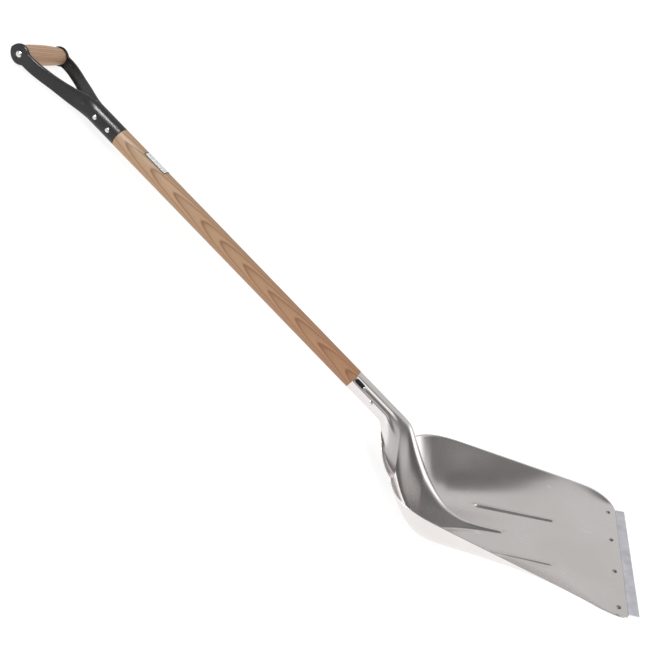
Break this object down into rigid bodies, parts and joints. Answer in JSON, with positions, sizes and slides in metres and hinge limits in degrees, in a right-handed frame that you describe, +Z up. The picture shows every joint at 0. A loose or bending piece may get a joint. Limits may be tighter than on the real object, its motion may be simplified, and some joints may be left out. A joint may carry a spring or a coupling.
{
  "type": "snow shovel",
  "caption": "Snow shovel with a dished aluminium pan, riveted steel wear strip, wooden shaft and a D-shaped yoke with a wooden cross-grip.",
  "frame": {"origin": "bottom centre of the bounding box, with the shovel lying on its back on the heel of the pan and the eyes of the yoke", "axes": "+Y from the cutting edge to the grip, +Z up and out of the bowl, +X across the pan; left is -X"},
  "size_m": [0.3572, 1.3059, 0.2345],
  "materials": {
    "aluminium": "bright rolled and pressed, lightly scratched",
    "galvanised": "galvanised, mottled",
    "rivet": "bright zinc",
    "shaft_wood": "clear lacquered ash, cathedral grain",
    "grip_wood": "clear lacquered ash, straight grain",
    "painted_steel": "dark grey satin powder coat",
    "nail": "dull dark grey",
    "label": "matt printed paper"
  },
  "bodies": {
    "root": {"blade": "aluminium", "wear_strip": "galvanised", "strip_rivet_1": "rivet", "strip_rivet_2": "rivet", "strip_rivet_3": "rivet", "strip_rivet_4": "rivet", "shaft": "shaft_wood", "socket_rivet": "rivet", "yoke_left": "painted_steel", "yoke_right": "painted_steel", "yoke_rivet_lower": "rivet", "yoke_rivet_upper": "rivet", "grip": "grip_wood", "grip_rod": "rivet", "grip_nail_1": "nail", "grip_nail_2": "nail", "grip_nail_3": "nail", "grip_nail_4": "nail", "label": "label"}
  },
  "joints": []
}
